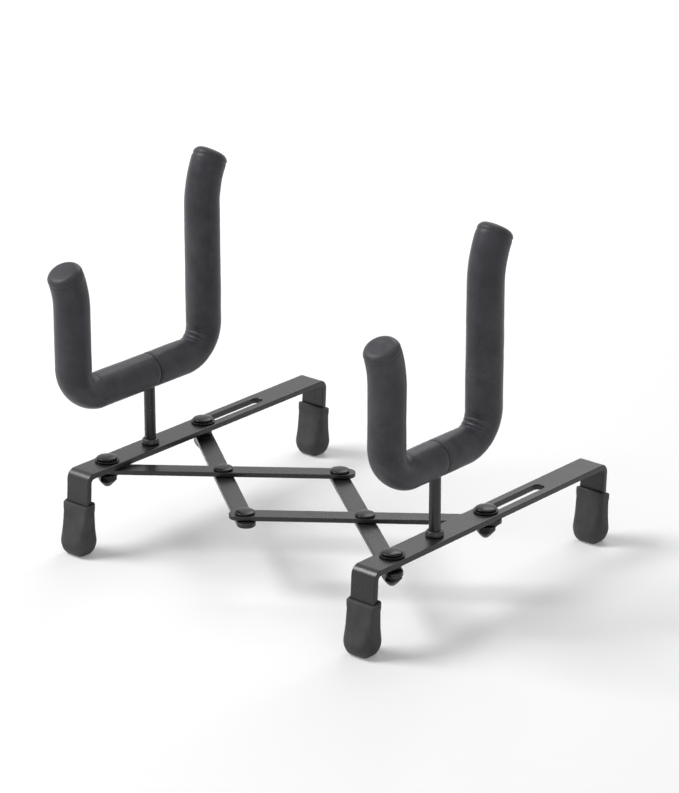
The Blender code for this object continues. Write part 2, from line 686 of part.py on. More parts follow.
def build_stand():
    clear_objects()
    painted = make_material("black painted steel", (0.018, 0.018, 0.020), 0.38, 0.0)
    fastener = make_material("black fasteners", (0.012, 0.012, 0.013), 0.25, 0.6)
    rubber = make_material("black rubber", (0.022, 0.022, 0.024), 0.75, 0.0)
    foam = make_material("black foam", (0.014, 0.014, 0.016), 0.92, 0.0)

    left = -RAIL_SPACING / 2
    right = RAIL_SPACING / 2
    stand = make_empty("stand", (0, 0, 0))
    axis_a = make_empty("axis_link_a", (left, FRONT_PIVOT, 0), stand)
    axis_b = make_empty("axis_link_b", (left / 2, CROSSING, 0), axis_a)
    axis_c = make_empty("axis_link_c", (0, FRONT_PIVOT, 0), axis_b)
    axis_d = make_empty("axis_link_d", (right / 2, CROSSING, 0), axis_c)
    axis_right = make_empty("axis_right_rail", (right, FRONT_PIVOT, 0), axis_d)

    left_arms = (
        ("front", LEFT_FRONT_REACH, FRONT_RISE, FRONT_FLARE, -1),
        ("back", LEFT_BACK_REACH, BACK_RISE, BACK_FLARE, 1),
    )
    right_arms = (
        ("front", RIGHT_FRONT_REACH, FRONT_RISE, FRONT_FLARE, -1),
        ("back", RIGHT_BACK_REACH, BACK_RISE, BACK_FLARE, 1),
    )
    for side, x, body, arms in (
        ("left", left, stand, left_arms),
        ("right", right, axis_right, right_arms),
    ):
        build_rail(side, x, body, painted)
        build_feet(side, x, body, rubber)
        build_post(side, x, body, painted)
        build_cradle(side, x, body, arms, painted, foam)

    bolt_hole = BOLT_RADIUS + RUNNING_CLEARANCE
    rivet_hole = RIVET_RADIUS + RUNNING_CLEARANCE
    loose_hole = RIVET_RADIUS + OPEN_PIVOT_CLEARANCE
    middle = LINK_LENGTH / 2
    for name, body, start, angle, top, first, last in (
        ("link_a", axis_a, (left, FRONT_PIVOT), OPEN_ANGLE, UPPER_LINK_TOP, bolt_hole, rivet_hole),
        ("link_b", axis_b, (left, SLIDING_PIVOT), -OPEN_ANGLE, LOWER_LINK_TOP, bolt_hole, rivet_hole),
        ("link_c", axis_c, (0, FRONT_PIVOT), OPEN_ANGLE, UPPER_LINK_TOP, rivet_hole, bolt_hole),
        ("link_d", axis_d, (0, SLIDING_PIVOT), -OPEN_ANGLE, LOWER_LINK_TOP, loose_hole, bolt_hole),
    ):
        holes = (
            ("first_hole", 0.0, first),
            ("middle_hole", middle, rivet_hole),
            ("last_hole", LINK_LENGTH, last),
        )
        build_link(name, body, start, angle, top, holes, painted)

    for name, body, x, y, link_foot, spacer_top in (
        ("left_front_pivot", stand, left, FRONT_PIVOT, UPPER_LINK_FOOT, None),
        ("left_sliding_pivot", axis_b, left, SLIDING_PIVOT, LOWER_LINK_FOOT, UPPER_LINK_TOP),
        ("right_sliding_pivot", axis_c, right, SLIDING_PIVOT, UPPER_LINK_FOOT, None),
        ("right_front_pivot", axis_right, right, FRONT_PIVOT, LOWER_LINK_FOOT, UPPER_LINK_TOP),
    ):
        build_rail_pivot(name, body, x, y, link_foot, spacer_top, fastener)
    build_rivet("left_crossing_rivet", axis_a, left / 2, CROSSING, fastener)
    build_rivet("front_middle_rivet", axis_b, 0, FRONT_PIVOT, fastener)
    build_rivet("right_crossing_rivet", axis_c, right / 2, CROSSING, fastener)
    build_rivet("back_middle_rivet", axis_a, 0, SLIDING_PIVOT, fastener)
    centre_on_base(stand)


build_stand()
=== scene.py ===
"""Folding violin stand: the finished look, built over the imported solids.

Each visible piece is drawn again in the place of its solid, with finer faces, rounded edges and its own
surface detail. The cradle rods, hidden in the foam, keep their solids' shape. All lengths are in metres, X
runs across the stand, Y from front to back and Z up from the floor.
"""
import json
import math

import bmesh
import bpy
from mathutils import Matrix, Vector, noise


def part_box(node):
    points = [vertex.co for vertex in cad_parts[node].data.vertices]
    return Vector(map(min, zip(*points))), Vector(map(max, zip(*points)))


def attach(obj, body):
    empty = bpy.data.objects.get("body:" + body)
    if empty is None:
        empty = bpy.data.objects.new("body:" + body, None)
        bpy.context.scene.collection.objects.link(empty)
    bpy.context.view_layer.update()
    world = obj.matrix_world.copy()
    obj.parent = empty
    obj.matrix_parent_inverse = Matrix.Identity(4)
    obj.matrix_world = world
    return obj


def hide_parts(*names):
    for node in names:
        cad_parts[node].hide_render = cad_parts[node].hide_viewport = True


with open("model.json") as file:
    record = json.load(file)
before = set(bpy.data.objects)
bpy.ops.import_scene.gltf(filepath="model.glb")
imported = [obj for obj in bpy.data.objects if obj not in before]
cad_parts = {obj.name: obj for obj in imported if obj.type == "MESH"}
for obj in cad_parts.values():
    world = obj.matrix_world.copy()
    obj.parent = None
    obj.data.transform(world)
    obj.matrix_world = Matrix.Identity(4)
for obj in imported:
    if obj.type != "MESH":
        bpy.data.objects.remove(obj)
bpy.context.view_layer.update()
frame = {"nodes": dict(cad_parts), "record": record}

# Sizes of the solids, which the pieces here keep
FACE_GAP = 0.0003
RUNNING_CLEARANCE = 0.0003
SLOT_CLEARANCE = 0.0004
OPEN_PIVOT_CLEARANCE = 0.0006
BOLT_RADIUS = 0.0020
HEAD_BAND = 0.0023
HEAD_HEIGHT = 0.0012
WASHER_BAND = 0.0031
WASHER_THICKNESS = 0.0006
NUT_WALL = 0.0013
NUT_HEX_HEIGHT = 0.0020
NUT_HEIGHT = 0.0050
NUT_TIP_RADIUS = 0.0013
NUT_CAP_WALL = 0.0013
RIVET_RADIUS = 0.0018
RIVET_TOP_BAND = 0.0023
RIVET_FOOT_BAND = 0.0014
RIVET_TOP_HEIGHT = 0.0010
RIVET_FOOT_HEIGHT = 0.0007
LINK_LENGTH = 0.0975
LINK_WALL = 0.0016
LINK_THICKNESS = 0.0020
LINK_OVERHANG = 0.0066
OPEN_ANGLE = math.radians(37.5)
FOLDED_ANGLE = math.radians(75.5)
RAIL_TOP = 0.0360
RAIL_THICKNESS = 0.0025
RAIL_BAR = 0.0037
RAIL_INNER_BEND = 0.0016
FRONT_MARGIN = 0.0178
REAR_MARGIN = 0.0373
LEG_END = 0.0064
FRONT_SPLAY = math.radians(3.0)
REAR_SPLAY = math.radians(-3.0)
FOOT_HEIGHT = 0.0222
FOOT_SIDE_WALL = 0.0008
FOOT_TOP_WALL = 0.0013
FOOT_TOE_WALL = 0.0045
FOOT_TOE_HEIGHT = 0.0060
FOOT_ROUND_HEIGHT = 0.0068
FOOT_SOLE_WIDTH = 0.0064
FOOT_SOLE_DEPTH = 0.0036
FOOT_TAPER = 1.8
FOOT_CORNER = 0.0014
FOOT_BACK_RISE = 0.0012
POST_RADIUS = 0.0024
SPIGOT_RADIUS = 0.0017
COLLAR_FOOT_BAND = 0.0011
COLLAR_TOP_BAND = 0.0005
COLLAR_HEIGHT = 0.0023
ROD_RADIUS = 0.0025
FOAM_RADIUS = 0.0077
FOAM_PINCH = 0.0009
SEAM_GAP = 0.0004
BEND_RADIUS = 0.0125
FLARE_RADIUS = 0.0400
FRONT_FLARE = math.radians(27.0)
BACK_FLARE = math.radians(34.0)
TIP_COVER = 0.0045
TIP_ROUNDING = 0.0030
LEFT_FRONT_REACH = 0.0447
LEFT_BACK_REACH = 0.0342
RIGHT_FRONT_REACH = 0.0300
RIGHT_BACK_REACH = 0.0305
FRONT_RISE = 0.0565
BACK_RISE = 0.0866

# Detail of the painted steel and its welds, which only the finished look has
PAINT_EDGE = 0.00045
LINK_EDGE = 0.8 * PAINT_EDGE
HOLE_EDGE = 0.00022
RIM_EDGE = 0.00018
WELD_FOOT_ROUNDING = 0.0004
WELD_TOP_ROUNDING = 0.0006
WELD_RIPPLE = 0.00005
WELD_RIPPLES = 11
WELD_RIPPLE_SLANT = 180

# Detail of the fasteners. A sharpness is 0 for a round nut and 1 for a full hexagon.
HEAD_RIM_SHARE = 0.35
RIVET_DOME_POWER = 0.8
RIVET_FOOT_ROUNDING = 0.0004
NUT_RIM_SHARPNESS = 0.55
NUT_EDGE_SHARPNESS = 0.85
NUT_HEX_SHARPNESS = 0.9
NUT_TIP_SHARPNESS = 0.75
NUT_TIP_SHARPNESS_LOSS = 1.5
NUT_TIP_POWER = 1.5

# Detail of the rubber feet
FOOT_LIP = 0.0005
FOOT_BEAD = 0.00022
FOOT_BEAD_PLACE = 0.0030
FOOT_BEAD_SOFTNESS = 0.00025
FOOT_BEAD_RUN_IN = 0.005
FOOT_CORNER_LIMIT = 0.9

# Detail of the foam: an uneven skin, folds inside each bend as (place, depth), and a ring under the tip
FOAM_LUMP = 0.00013
LUMPS_IN_METRE = 55
FINE_LUMPS_IN_METRE = 160
FINE_LUMP_SHARE = 0.5
FOAM_BUTT_EDGE = 0.0003
BEND_CREASES = ((-0.0046, 0.00030), (-0.0017, 0.00075), (0.0013, 0.00065), (0.0043, 0.00032))
BEND_CREASE_WIDTH = 0.00060
BEND_CREASE_WAVER = 0.0006
BEND_CREASE_SHIFT = 1.7
BEND_CREASE_FADE = 1.6
TIP_CREASE_PLACE = 0.0036
TIP_CREASE_DEPTH = 0.00028
TIP_CREASE_WIDTH = 0.00045
TIP_CREASE_WAVER = 0.0004
TIP_CREASE_SHIFT = 0.8
CREASE_SHAPE_POWER = 1.5
TIP_CROWN = 0.0003

# Facets
ROUND_SIDES = 48
NUT_SIDES = 72
FOAM_SIDES = 56
FOAM_STEP = 0.0010
FOAM_FINE_STEP = 0.0004
LINING_STRIDE = 4
CORNER_STEPS = 6
EDGE_STEPS = 3
SOFT_EDGE_STEPS = 5
RAIL_BEND_STEPS = 14
LINK_END_STEPS = 24
BOLT_DOME_STEPS = 12
RIVET_DOME_STEPS = 10
NUT_TIP_STEPS = 10
TOE_STEPS = 20
NECK_STEPS = 32
TIP_STEPS = 10
CROWN_STEPS = 5
SHARP_ANGLE = math.radians(42)

# Shades of the finishes, from dark to pale, as (place on the ramp, linear red, green and blue)
PAINT_SHADES = ((0.30, (0.0130, 0.0130, 0.0140)), (0.70, (0.0215, 0.0211, 0.0222)))
PAINT_RUBBED = (0.046, 0.045, 0.045)
FASTENER_SHADES = ((0.30, (0.0060, 0.0060, 0.0066)), (0.72, (0.0130, 0.0127, 0.0132)))
RUBBER_SHADES = ((0.28, (0.047, 0.047, 0.048)), (0.72, (0.073, 0.072, 0.072)))
RUBBER_WORN = (0.100, 0.098, 0.095)
FOAM_SHADES = (
    (0.28, (0.0400, 0.0386, 0.0456)),
    (0.52, (0.0525, 0.0508, 0.0592)),
    (0.74, (0.0670, 0.0648, 0.0748)),
)
FOAM_RUBBED = (0.108, 0.105, 0.112)
# Painted shade in the hollows of the foam's open cells
FOAM_CELL_SHADE = (0.010, 0.010, 0.011)

# Range that a noise seldom leaves
NOISE_LOW = 0.3
NOISE_HIGH = 0.7

# Sockets of a colour mix, whose names repeat for each kind of value
MIX_SHARE = 0
MIX_UNDER = 6
MIX_OVER = 7
MIX_RESULT = 2

# Sizes that follow from the ones above
PIVOT_SPREAD = LINK_LENGTH * math.sin(OPEN_ANGLE)
SLIDE_TRAVEL = LINK_LENGTH * math.sin(FOLDED_ANGLE) - PIVOT_SPREAD
SLOT_RADIUS = BOLT_RADIUS + SLOT_CLEARANCE
RAIL_WIDTH = 2 * (SLOT_RADIUS + RAIL_BAR)
RAIL_LENGTH = FRONT_MARGIN + PIVOT_SPREAD + SLIDE_TRAVEL + SLOT_RADIUS + REAR_MARGIN
LINK_HALF_WIDTH = BOLT_RADIUS + RUNNING_CLEARANCE + LINK_WALL
WASHER_RADIUS = BOLT_RADIUS + WASHER_BAND
BORE_RADIUS = ROD_RADIUS + FACE_GAP
RAIL_UNDERSIDE = RAIL_TOP - RAIL_THICKNESS
UPPER_LINK_TOP = RAIL_UNDERSIDE - FACE_GAP
UPPER_LINK_FOOT = UPPER_LINK_TOP - LINK_THICKNESS
LOWER_LINK_TOP = UPPER_LINK_FOOT - FACE_GAP
LOWER_LINK_FOOT = LOWER_LINK_TOP - LINK_THICKNESS
FOOT_NECK = RAIL_THICKNESS / 2 + FACE_GAP + FOOT_TOP_WALL
FOOT_TOE = RAIL_THICKNESS / 2 + FACE_GAP + FOOT_TOE_WALL

# Places, read from the solids
SIDES = ("left", "right")
NODE_BODY = {node: body for body, nodes in frame["record"]["behaviour"]["bodies"].items() for node in nodes}


def middle_of(node):
    low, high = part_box(node)
    return (low + high) / 2


POST = {side: middle_of(side + "_post") for side in SIDES}
FRONT_PIVOT = {side: middle_of(side + "_front_pivot_bolt") for side in SIDES}
SLIDING_PIVOT = {side: middle_of(side + "_sliding_pivot_bolt") for side in SIDES}
RAIL_MIDDLE = FRONT_PIVOT["left"].y - FRONT_MARGIN + RAIL_LENGTH / 2
CRADLE_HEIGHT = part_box("left_front_sleeve")[0].z + FOAM_RADIUS


# Nodes of a material

def fill_socket(tree, socket, value):
    """Fills a socket with a plain value, or with a link from another socket."""
    if isinstance(value, bpy.types.NodeSocket):
        tree.links.new(value, socket)
    else:
        socket.default_value = value


def add_node(tree, kind, inputs=None, **settings):
    """A new node with its settings, and its sockets filled by name."""
    made = tree.nodes.new(kind)
    for name, value in settings.items():
        setattr(made, name, value)
    for name, value in (inputs or {}).items():
        fill_socket(tree, made.inputs[name], value)
    return made


def new_material(name):
    """A material with its node tree, its shader and the coordinates of its object."""
    material = bpy.data.materials.new(name)
    material.use_nodes = True
    tree = material.node_tree
    shader = tree.nodes["Principled BSDF"]
    place = tree.nodes.new("ShaderNodeTexCoord").outputs["Object"]
    return material, tree, shader, place


def grain(tree, place, scale, detail=4.0, roughness=0.55, stretch=(1.0, 1.0, 1.0), distortion=0.0):
    """Value from 0 to 1 of a noise whose scale counts features in a metre."""
    stretched = add_node(tree, "ShaderNodeMapping", {"Vector": place, "Scale": stretch})
    inputs = {
        "Vector": stretched.outputs["Vector"],
        "Scale": scale,
        "Detail": detail,
        "Roughness": roughness,
        "Distortion": distortion,
    }
    return add_node(tree, "ShaderNodeTexNoise", inputs).outputs["Fac"]


def spread(tree, value, low=NOISE_LOW, high=NOISE_HIGH, start=0.0, end=1.0):
    """Value stretched from the range low to high onto the range start to end."""
    inputs = {"Value": value, "From Min": low, "From Max": high, "To Min": start, "To Max": end}
    return add_node(tree, "ShaderNodeMapRange", inputs).outputs["Result"]


def calculate(tree, operation, first, second):
    made = add_node(tree, "ShaderNodeMath", operation=operation)
    for socket, value in zip(made.inputs, (first, second)):
        fill_socket(tree, socket, value)
    return made.outputs["Value"]


def tones(tree, value, shades):
    """Colour ramp through shades of (place, colour)."""
    ramp = add_node(tree, "ShaderNodeValToRGB", {"Fac": value})
    elements = ramp.color_ramp.elements
    while len(elements) < len(shades):
        elements.new(0.5)
    for element, (place, colour) in zip(elements, shades):
        element.position = place
        element.color = (*colour, 1.0)
    return ramp.outputs["Color"]


def lay_over(tree, share, under, over):
    """A linked colour with a plain colour laid over it, by a linked share."""
    made = add_node(tree, "ShaderNodeMix", data_type="RGBA")
    tree.links.new(share, made.inputs[MIX_SHARE])
    tree.links.new(under, made.inputs[MIX_UNDER])
    made.inputs[MIX_OVER].default_value = (*over, 1.0)
    return made.outputs[MIX_RESULT]


def bump(tree, height, distance, strength, under=None):
    """Normal of a relief that is a given distance deep, over another relief where there is one."""
    inputs = {"Height": height, "Distance": distance, "Strength": strength}
    if under is not None:
        inputs["Normal"] = under
    return add_node(tree, "ShaderNodeBump", inputs).outputs["Normal"]


def dress_shader(tree, shader, colour, roughness, normal, specular):
    """Links what varies over the surface to the shader and sets its one specular level."""
    tree.links.new(colour, shader.inputs["Base Color"])
    tree.links.new(roughness, shader.inputs["Roughness"])
    tree.links.new(normal, shader.inputs["Normal"])
    shader.inputs["Specular IOR Level"].default_value = specular


# Materials

def painted_steel():
    """Black satin powder paint with a fine orange peel, a finer speckle and light rubbing marks."""
    material, tree, shader, place = new_material("painted_steel_finish")
    clouds = grain(tree, place, scale=45.0, detail=3.0)
    speckle = grain(tree, place, scale=1700.0, detail=2.0)
    marks = grain(tree, place, scale=95.0, detail=6.0, roughness=0.7, distortion=0.6)
    rubbed = spread(tree, marks, low=0.60, high=0.74)
    tint = tones(tree, clouds, PAINT_SHADES)
    tint = lay_over(tree, calculate(tree, "MULTIPLY", rubbed, 0.40), tint, PAINT_RUBBED)
    rough = spread(tree, clouds, start=0.24, end=0.33)
    rough = calculate(tree, "ADD", rough, spread(tree, speckle, start=-0.03, end=0.03))
    rough = calculate(tree, "ADD", rough, calculate(tree, "MULTIPLY", rubbed, 0.10))
    peel = bump(tree, grain(tree, place, scale=1100.0, detail=1.5), distance=0.00006, strength=0.30)
    relief = bump(tree, speckle, distance=0.00003, strength=0.25, under=peel)
    dress_shader(tree, shader, tint, rough, relief, specular=0.42)
    return material


def black_fastener():
    """Blackened steel of the bolts, nuts and rivets, glossy with fine handling marks."""
    material, tree, shader, place = new_material("fasteners_finish")
    clouds = grain(tree, place, scale=260.0)
    marks = grain(tree, place, scale=900.0, detail=5.0, roughness=0.7, stretch=(1.0, 1.0, 3.0))
    tint = tones(tree, clouds, FASTENER_SHADES)
    rough = spread(tree, marks, high=0.75, start=0.15, end=0.27)
    relief = bump(tree, marks, distance=0.00004, strength=0.35)
    dress_shader(tree, shader, tint, rough, relief, specular=0.22)
    return material


def moulded_rubber():
    """Dark grey moulded rubber with a faint upright flow grain, worn paler at the floor."""
    material, tree, shader, place = new_material("rubber_finish")
    clouds = grain(tree, place, scale=150.0)
    flow = grain(tree, place, scale=700.0, detail=3.0, stretch=(1.0, 1.0, 0.16))
    pores = grain(tree, place, scale=2600.0, detail=2.0)
    height = add_node(tree, "ShaderNodeSeparateXYZ", {"Vector": place}).outputs["Z"]
    at_floor = spread(tree, height, low=0.0040, high=0.0002)
    patches = spread(tree, clouds, low=0.35, high=0.65, start=0.3, end=0.8)
    worn = calculate(tree, "MULTIPLY", at_floor, patches)
    tint = lay_over(tree, worn, tones(tree, clouds, RUBBER_SHADES), RUBBER_WORN)
    rough = spread(tree, flow, start=0.50, end=0.62)
    rough = calculate(tree, "ADD", rough, calculate(tree, "MULTIPLY", worn, 0.15))
    streaks = bump(tree, flow, distance=0.00008, strength=0.35)
    relief = bump(tree, pores, distance=0.00004, strength=0.40, under=streaks)
    dress_shader(tree, shader, tint, rough, relief, specular=0.19)
    return material


def soft_foam():
    """Charcoal foam tube: matte skin with fine open cells, painted shade in the cells' hollows, a soft mottle
    and faint paler rubbing.
    """
    material, tree, shader, place = new_material("foam_finish")
    mottle = grain(tree, place, scale=85.0, detail=5.0, roughness=0.6, distortion=0.4)
    broad = grain(tree, place, scale=24.0, detail=2.0)
    skin = grain(tree, place, scale=1900.0, detail=3.0, roughness=0.65)
    cells = add_node(tree, "ShaderNodeTexVoronoi", {"Vector": place, "Scale": 1500.0, "Randomness": 1.0})
    cell_depth = spread(tree, cells.outputs["Distance"], low=0.0, high=0.75)
    patches = spread(tree, mottle, low=0.42, high=0.80, start=0.0, end=0.60)
    rubbed = calculate(tree, "MULTIPLY", spread(tree, broad, low=0.42, high=0.72), patches)
    tint = lay_over(tree, rubbed, tones(tree, mottle, FOAM_SHADES), FOAM_RUBBED)
    # Painted shade: darker towards the middle of each cell, where its hollow lies
    painted_cell_shade = spread(tree, cell_depth, low=0.0, high=0.35, start=0.35, end=0.0)
    tint = lay_over(tree, painted_cell_shade, tint, FOAM_CELL_SHADE)
    rough = spread(tree, mottle, start=0.34, end=0.46)
    pores = bump(tree, cell_depth, distance=0.00010, strength=0.45)
    relief = bump(tree, skin, distance=0.00008, strength=0.40, under=pores)
    dress_shader(tree, shader, tint, rough, relief, specular=0.20)
    return material


# Mesh helpers

def finish_mesh(name, bm):
    bmesh.ops.recalc_face_normals(bm, faces=bm.faces)
    mesh = bpy.data.meshes.new(name)
    bm.to_mesh(mesh)
    bm.free()
    return mesh


def bridge_rings(bm, rings):
    """Side faces between consecutive closed rings of vertices, where a ring of one is a pole."""
    for low, high in zip(rings, rings[1:]):
        count = max(len(low), len(high))
        for i in range(count):
            j = (i + 1) % count
            corners = [low[i % len(low)], low[j % len(low)], high[j % len(high)], high[i % len(high)]]
            bm.faces.new(list(dict.fromkeys(corners)))


def closed_mesh(name, bm, rings):
    """Skin over rings of vertices, with a flat end on the first ring and on the last one."""
    bridge_rings(bm, rings)
    bm.faces.new(rings[0])
    bm.faces.new(rings[-1])
    return finish_mesh(name, bm)


def full_circle(sides):
    """Angles of the corners round a circle."""
    return [2 * math.pi * i / sides for i in range(sides)]


def half_circle(start):
    """Angles round the end of a slot or a link, with both of its corners."""
    return [start + math.pi * i / LINK_END_STEPS for i in range(LINK_END_STEPS + 1)]


def quarter_circle(steps):
    """Angles after each step of a quarter turn, without its start."""
    return [math.pi / 2 * i / steps for i in range(1, steps + 1)]


def turned_mesh(name, profile, middle, sides=ROUND_SIDES):
    """Solid of revolution about an upright axis, through a list of (radius, height)."""
    bm = bmesh.new()
    rings = []
    for radius, height in profile:
        if radius == 0:
            rings.append([bm.verts.new((middle.x, middle.y, height))])
            continue
        ring = []
        for turn in full_circle(sides):
            x = middle.x + radius * math.cos(turn)
            y = middle.y + radius * math.sin(turn)
            ring.append(bm.verts.new((x, y, height)))
        rings.append(ring)
    if profile[0][0] > 0:
        rings.append(rings[0])
    bridge_rings(bm, rings)
    return finish_mesh(name, bm)


def rounded(corners, radii, steps=EDGE_STEPS):
    """Profile through corners of (radius, height), where each has its own rounding."""
    points = []
    for i, (corner, radius) in enumerate(zip(corners, radii)):
        if radius == 0:
            points.append(corner)
            continue
        here = Vector(corner)
        before = (Vector(corners[i - 1]) - here).normalized()
        after = (Vector(corners[(i + 1) % len(corners)]) - here).normalized()
        start = here + before * radius
        end = here + after * radius
        for k in range(steps + 1):
            share = k / steps
            point = start * (1 - share) ** 2 + here * 2 * share * (1 - share) + end * share ** 2
            points.append((point.x, point.y))
    return points


class Route:
    """Stations (distance, height, heading, squeeze) of a path drawn by runs and arcs in an upright plane."""

    def __init__(self, distance, height, heading):
        self.stations = [(distance, height, heading, 0.0)]

    def run(self, length, step=1.0):
        """Straight run, in steps that are no longer than the given one."""
        steps = max(1, math.ceil(length / step))
        for _ in range(steps):
            distance, height, heading, _squeeze = self.stations[-1]
            distance += length / steps * math.cos(heading)
            height += length / steps * math.sin(heading)
            self.stations.append((distance, height, heading, 0.0))

    def turn(self, radius, angle, steps, squeeze=0.0):
        """Arc to the left, or to the right for a negative angle, squeezed most in its middle."""
        side = math.copysign(1, angle)
        for i in range(1, steps + 1):
            distance, height, heading, _squeeze = self.stations[-1]
            after = heading + angle / steps
            distance += side * radius * (math.sin(after) - math.sin(heading))
            height -= side * radius * (math.cos(after) - math.cos(heading))
            self.stations.append((distance, height, after, squeeze * math.sin(math.pi * i / steps)))


def at_station(station, across, normal, outward=1):
    """Point beside a station, as an offset from the path's own origin."""
    distance, height, heading = station[:3]
    y = outward * (distance - normal * math.sin(heading))
    return Vector((across, y, height + normal * math.cos(heading)))


def strip_section(width, thickness, edge, steps=EDGE_STEPS):
    """Flat bar seen from its end, with rounded corners."""
    points = []
    for turn_x, turn_y, start in ((1, -1, -90), (1, 1, 0), (-1, 1, 90), (-1, -1, 180)):
        for i in range(steps + 1):
            turn = math.radians(start + 90 * i / steps)
            x = turn_x * (width / 2 - edge) + edge * math.cos(turn)
            y = turn_y * (thickness / 2 - edge) + edge * math.sin(turn)
            points.append((x, y))
    return points


def section_ring(bm, origin, station, section, outward=1):
    """Ring of vertices where a section crosses a path."""
    return [bm.verts.new(origin + at_station(station, across, normal, outward)) for across, normal in section]


def remove_parts(piece, cutters):
    """Cuts the drilled shapes out of a piece for good."""
    for mesh in cutters:
        cutter = bpy.data.objects.new("cutter", mesh)
        bpy.context.scene.collection.objects.link(cutter)
        modifier = piece.modifiers.new("cut", "BOOLEAN")
        modifier.operation = "DIFFERENCE"
        modifier.solver = "EXACT"
        modifier.object = cutter
        bpy.context.view_layer.update()
        solid = piece.evaluated_get(bpy.context.evaluated_depsgraph_get())
        cut_mesh = bpy.data.meshes.new_from_object(solid)
        piece.modifiers.clear()
        piece.data = cut_mesh
        bpy.data.objects.remove(cutter)


def place_piece(name, mesh, node, material, cutters=(), weighted=True):
    """Links a piece that stands for a solid, rides on its body and belongs to its material slot.

    A weighted piece is shaded flat on its wide faces and round only on its narrow edges.
    """
    piece = bpy.data.objects.new(name, mesh)
    bpy.context.scene.collection.objects.link(piece)
    remove_parts(piece, cutters)
    piece.data.materials.clear()
    piece.data.materials.append(material)
    piece.data.shade_smooth()
    piece.data.set_sharp_from_angle(angle=SHARP_ANGLE)
    if weighted:
        shading = piece.modifiers.new("even shading", "WEIGHTED_NORMAL")
        shading.keep_sharp = True
    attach(piece, NODE_BODY[node])
    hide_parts(node)
    return piece


def hole_cutter(radius, middle, top, foot):
    """Round drill that breaks the rims at both faces of a plate."""
    rim = radius + 2 * HOLE_EDGE
    profile = [
        (0, foot - HOLE_EDGE), (rim, foot - HOLE_EDGE), (radius, foot + HOLE_EDGE),
        (radius, top - HOLE_EDGE), (rim, top + HOLE_EDGE), (0, top + HOLE_EDGE),
    ]
    return turned_mesh("drill", profile, middle)


def slot_cutter(middle, top, foot):
    """Long cutter that breaks the slot's rims at both faces of the rail."""
    rim = SLOT_RADIUS + 2 * HOLE_EDGE
    bm = bmesh.new()
    rings = []
    for height, radius in (
        (foot - HOLE_EDGE, rim), (foot + HOLE_EDGE, SLOT_RADIUS),
        (top - HOLE_EDGE, SLOT_RADIUS), (top + HOLE_EDGE, rim),
    ):
        ring = []
        for centre, start in ((0.0, math.pi), (SLIDE_TRAVEL, 0.0)):
            for turn in half_circle(start):
                x = middle.x + radius * math.cos(turn)
                y = middle.y + centre + radius * math.sin(turn)
                ring.append(bm.verts.new((x, y, height)))
        rings.append(ring)
    return closed_mesh("slot", bm, rings)


# Rails

def leg_line(splay):
    """Route of a rail's end, from the top run over the bend and down to the end of the leg."""
    bend = RAIL_INNER_BEND + RAIL_THICKNESS / 2
    route = Route(RAIL_LENGTH / 2 - bend - RAIL_THICKNESS / 2, RAIL_TOP - RAIL_THICKNESS / 2, 0.0)
    route.turn(bend, splay - math.pi / 2, RAIL_BEND_STEPS)
    drop = route.stations[-1][1] - LEG_END
    route.run(drop / math.cos(splay))
    return route


def rail_mesh(x):
    """Strip of steel with rounded edges, bent down at both ends."""
    origin = Vector((x, RAIL_MIDDLE, 0))
    section = strip_section(RAIL_WIDTH, RAIL_THICKNESS, PAINT_EDGE)
    bm = bmesh.new()
    rings = []
    for distance, height, heading, _squeeze in reversed(leg_line(FRONT_SPLAY).stations):
        rings.append(section_ring(bm, origin, (-distance, height, -heading), section))
    for station in leg_line(REAR_SPLAY).stations:
        rings.append(section_ring(bm, origin, station, section))
    return closed_mesh("rail", bm, rings)


def build_rails(paint):
    for side in SIDES:
        cutters = [
            hole_cutter(BOLT_RADIUS + RUNNING_CLEARANCE, FRONT_PIVOT[side], RAIL_TOP, RAIL_UNDERSIDE),
            hole_cutter(SPIGOT_RADIUS + FACE_GAP, POST[side], RAIL_TOP, RAIL_UNDERSIDE),
            slot_cutter(SLIDING_PIVOT[side], RAIL_TOP, RAIL_UNDERSIDE),
        ]
        mesh = rail_mesh(POST[side].x)
        place_piece(side + "_rail_strip", mesh, side + "_rail", paint, cutters)


# Rubber feet

def toe_spread(height, curve):
    """Share of the foot's spread reached at a height, on an underside that is round up to a given height."""
    climb = min(1.0, height / curve)
    return math.sqrt(1 - (1 - climb) ** 2)


def foot_half_sizes(height):
    """Half the foot's width and depth: a round toe that is drawn in towards a flat neck."""
    side = RAIL_WIDTH / 2 + FACE_GAP + FOOT_SIDE_WALL
    sole_width = FOOT_SOLE_WIDTH / 2
    sole_depth = FOOT_SOLE_DEPTH / 2
    width = sole_width + (side - sole_width) * toe_spread(height, FOOT_ROUND_HEIGHT)
    if height <= FOOT_TOE_HEIGHT:
        return width, sole_depth + (FOOT_TOE - sole_depth) * toe_spread(height, FOOT_TOE_HEIGHT)
    climb = (height - FOOT_TOE_HEIGHT) / (FOOT_HEIGHT - FOOT_TOE_HEIGHT)
    return width, FOOT_NECK + (FOOT_TOE - FOOT_NECK) * (1 - climb) ** FOOT_TAPER


def foot_section(height, inset):
    """Rounded rectangle whose corners are full at the toe and tight at the neck."""
    half_width, half_depth = foot_half_sizes(height)
    half_width -= inset
    half_depth -= inset
    limit = FOOT_CORNER_LIMIT * min(half_depth, half_width)
    corner = min(limit, FOOT_CORNER + max(0.0, half_depth - FOOT_NECK))
    return strip_section(2 * half_width, 2 * half_depth, corner, CORNER_STEPS)


def leg_offset(splay, height):
    """Distance from the rail's middle to a leg's centre line at a height."""
    distance, foot = leg_line(splay).stations[-1][:2]
    return distance - (height - foot) * math.tan(splay)


